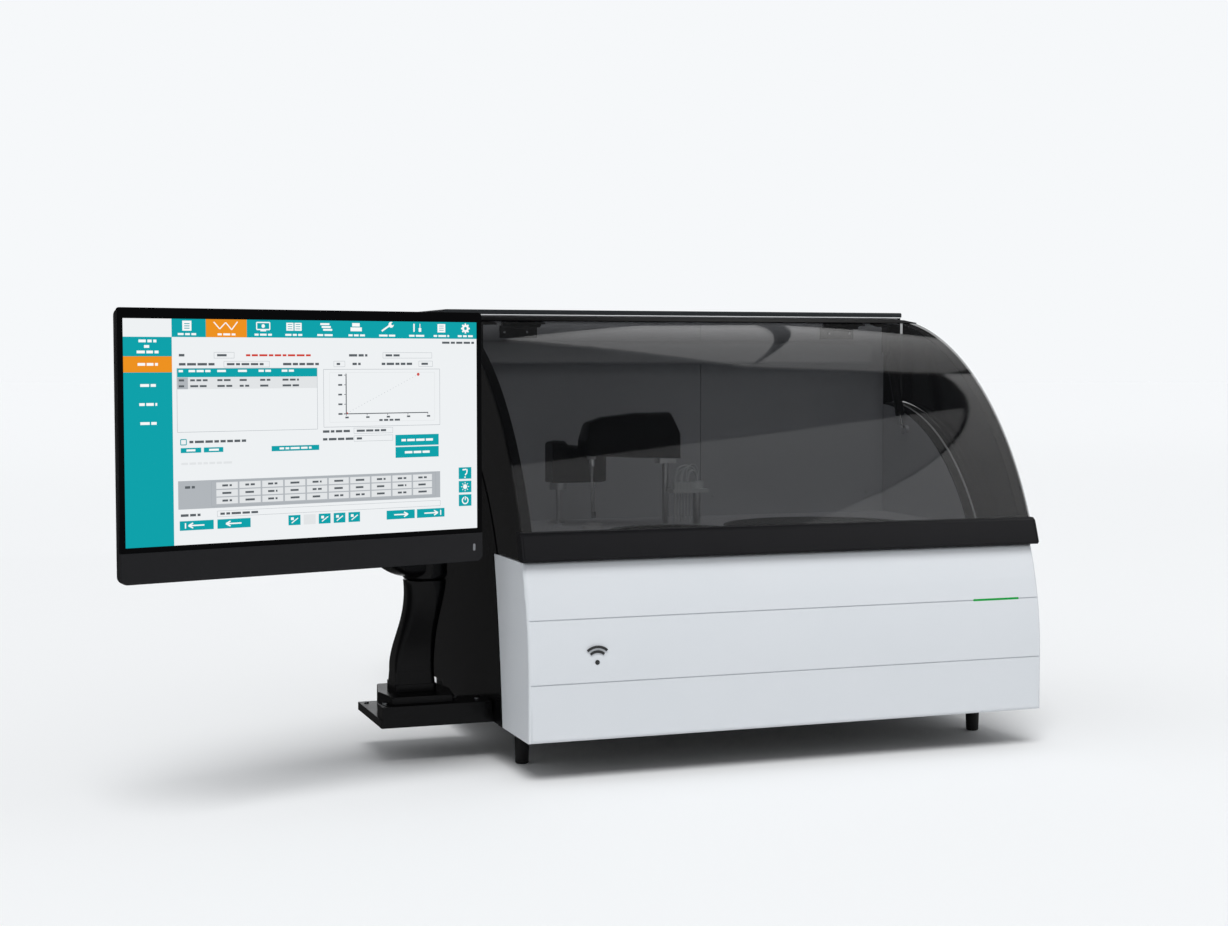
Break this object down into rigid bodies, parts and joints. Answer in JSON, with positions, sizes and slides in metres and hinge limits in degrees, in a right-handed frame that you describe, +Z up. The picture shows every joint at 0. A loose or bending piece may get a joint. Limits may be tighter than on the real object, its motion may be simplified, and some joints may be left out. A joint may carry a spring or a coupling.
{
  "type": "clinical chemistry analyzer",
  "caption": "Benchtop chemistry analyzer: white curved front, smoked lift-up hood over rotors and probe arms, black side panels, and a flat monitor on a cast side bracket.",
  "frame": {"origin": "middle of the underside of the whole object's bounding box, on the table", "axes": "+X to the right seen from the front, +Y from the front to the back, +Z up"},
  "size_m": [1.455, 0.8137, 0.706],
  "materials": {
    "white_casing": "satin",
    "status_lamp": "frosted",
    "black_gloss": "gloss",
    "top_black": "satin",
    "grey_sheet": "matt",
    "pale_frame": "satin",
    "inner_lining": "satin",
    "foot_rubber": "matt",
    "sill_black": "satin",
    "bright_trim": "polished",
    "deck_white": "satin",
    "bay_grey": "satin",
    "well_white": "gloss",
    "rotor_dark": "satin",
    "cuvette_clear": "clear",
    "tray_blue": "satin",
    "bottle_white": "satin",
    "tube_clear": "clear",
    "arm_black": "gloss",
    "shaft_steel": "ground",
    "probe_steel": "polished",
    "manifold_clear": "frosted",
    "smoked_sheet": "gloss",
    "bond_black": "satin",
    "lip_black": "satin",
    "hinge_black": "satin",
    "pin_steel": "ground",
    "strut_black": "satin",
    "strut_chrome": "polished",
    "fan_black": "satin",
    "inlet_black": "matt",
    "switch_red": "gloss",
    "cast_black": "powder coated",
    "head_black": "satin",
    "mount_steel": "satin",
    "monitor_shell": "textured",
    "bezel_glass": "gloss",
    "screen_lit": "satin",
    "speaker_cloth": "ribbed",
    "button_grey": "satin"
  },
  "bodies": {
    "housing": {"base_tray": "grey_sheet", "feet": "foot_rubber", "front_casing": "white_casing", "status_light": "status_lamp", "side_panel_left": "black_gloss", "side_panel_right": "black_gloss", "rear_cover": "grey_sheet", "top_frame": "pale_frame", "top_plate": "top_black", "inner_walls": "inner_lining", "side_sills": "sill_black", "sill_trims": "bright_trim", "rear_wall_left": "inner_lining", "rear_wall_right": "inner_lining", "rear_beam": "pale_frame", "work_deck": "deck_white", "reaction_bath": "bay_grey", "tray_bay": "bay_grey", "wash_wells": "well_white", "hinge_mounts": "hinge_black", "hinge_pins": "pin_steel", "fan_grille": "fan_black", "power_inlet": "inlet_black", "bracket_base": "cast_black", "bracket_column": "cast_black"},
    "hood": {"hood_window": "smoked_sheet", "hood_side_left": "smoked_sheet", "hood_side_right": "smoked_sheet", "hood_edge_strips": "bond_black", "hood_rail": "bond_black", "hood_lip_bar": "lip_black", "hinge_knuckles": "hinge_black", "strut_brackets": "hinge_black"},
    "left strut rod": {"strut_rod_left": "strut_chrome"},
    "left strut cylinder": {"strut_cylinder_left": "strut_black"},
    "right strut rod": {"strut_rod_right": "strut_chrome"},
    "right strut cylinder": {"strut_cylinder_right": "strut_black"},
    "reaction rotor": {"reaction_rotor": "rotor_dark", "cuvettes": "cuvette_clear"},
    "sample tray": {"sample_tray": "tray_blue", "reagent_bottles": "bottle_white", "sample_tubes": "tube_clear"},
    "arm lift": {"arm_shaft": "shaft_steel"},
    "sampling arm": {"arm_cover": "arm_black", "sample_probe": "probe_steel"},
    "stirrer lift": {"mixer_shaft": "shaft_steel"},
    "stirrer arm": {"mixer_cover": "arm_black", "mixer_paddle": "probe_steel"},
    "washing head": {"wash_post": "shaft_steel", "wash_manifold": "manifold_clear"},
    "fan": {"fan_rotor": "fan_black"},
    "mains switch": {"power_switch": "switch_red"},
    "monitor arm": {"swing_arm": "cast_black"},
    "monitor head": {"tilt_head": "head_black"},
    "monitor": {"mount_plate": "mount_steel", "monitor_back": "monitor_shell", "monitor_bezel": "bezel_glass", "monitor_screen": "screen_lit", "speaker_bar": "speaker_cloth"},
    "monitor button": {"power_button": "button_grey"}
  },
  "joints": [
    {"name": "hood_hinge", "type": "hinge", "parent": "housing", "child": "hood", "pos_m": [0.2935, 0.185, 0.682], "axis": [-1, 0, 0], "range_deg": [0, 62]},
    {"name": "left_strut_pivot", "type": "hinge", "parent": "housing", "child": "left strut rod", "pos_m": [-0.0925, 0.109, 0.497], "axis": [1, 0, 0], "range_deg": [0, 12.5]},
    {"name": "left_strut_stroke", "type": "slide", "parent": "left strut rod", "child": "left strut cylinder", "axis": [0, 0.3533, 0.9355], "range_m": [0, 0.0345]},
    {"name": "right_strut_pivot", "type": "hinge", "parent": "housing", "child": "right strut rod", "pos_m": [0.6795, 0.109, 0.497], "axis": [1, 0, 0], "range_deg": [0, 12.5]},
    {"name": "right_strut_stroke", "type": "slide", "parent": "right strut rod", "child": "right strut cylinder", "axis": [0, 0.3533, 0.9355], "range_m": [0, 0.0345]},
    {"name": "reaction_spin", "type": "hinge", "parent": "housing", "child": "reaction rotor", "pos_m": [0.1635, -0.095, 0.33], "axis": [0, 0, 1], "continuous": true},
    {"name": "tray_spin", "type": "hinge", "parent": "housing", "child": "sample tray", "pos_m": [0.4535, -0.035, 0.26], "axis": [0, 0, 1], "continuous": true},
    {"name": "arm_lift", "type": "slide", "parent": "housing", "child": "arm lift", "axis": [0, 0, 1], "range_m": [-0.025, 0.02]},
    {"name": "arm_turn", "type": "hinge", "parent": "arm lift", "child": "sampling arm", "pos_m": [0.1955, 0.029, 0.459], "axis": [0, 0, 1], "range_deg": [0, 160]},
    {"name": "stirrer_lift", "type": "slide", "parent": "housing", "child": "stirrer lift", "axis": [0, 0, 1], "range_m": [-0.025, 0.02]},
    {"name": "stirrer_turn", "type": "hinge", "parent": "stirrer lift", "child": "stirrer arm", "pos_m": [0.0285, 0.091, 0.418], "axis": [0, 0, 1], "range_deg": [0, 75]},
    {"name": "washer_lift", "type": "slide", "parent": "housing", "child": "washing head", "axis": [0, 0, 1], "range_m": [0, 0.03]},
    {"name": "fan_spin", "type": "hinge", "parent": "housing", "child": "fan", "pos_m": [0.5035, 0.397, 0.56], "axis": [0, 1, 0], "continuous": true},
    {"name": "mains_rocker", "type": "hinge", "parent": "housing", "child": "mains switch", "pos_m": [-0.0005, 0.404, 0.14], "axis": [1, 0, 0], "range_deg": [-14, 0]},
    {"name": "arm_swivel", "type": "hinge", "parent": "housing", "child": "monitor arm", "pos_m": [-0.2365, -0.057, 0.308], "axis": [0, 0, 1], "range_deg": [-60, 8]},
    {"name": "monitor_swivel", "type": "hinge", "parent": "monitor arm", "child": "monitor head", "pos_m": [-0.49224, -0.22502, 0.505], "axis": [0, 0, 1], "range_deg": [-30, 8]},
    {"name": "monitor_tilt", "type": "hinge", "parent": "monitor head", "child": "monitor", "pos_m": [-0.48321, -0.2578, 0.505], "axis": [0.9641, 0.2656, 0], "range_deg": [-20, 5]},
    {"name": "monitor_power", "type": "slide", "parent": "monitor", "child": "monitor button", "axis": [-0.2656, 0.9641, 0], "range_m": [0, 0.001], "stiffness_N_per_m": 400, "springref_m": -0.0005}
  ],
  "couplings": [
    {"joint": "left_strut_pivot", "follows": "hood_hinge", "ratio": 0.19177},
    {"joint": "left_strut_stroke", "follows": "hood_hinge", "m_per_rad": 0.031466},
    {"joint": "right_strut_pivot", "follows": "hood_hinge", "ratio": 0.19177},
    {"joint": "right_strut_stroke", "follows": "hood_hinge", "m_per_rad": 0.031466}
  ]
}
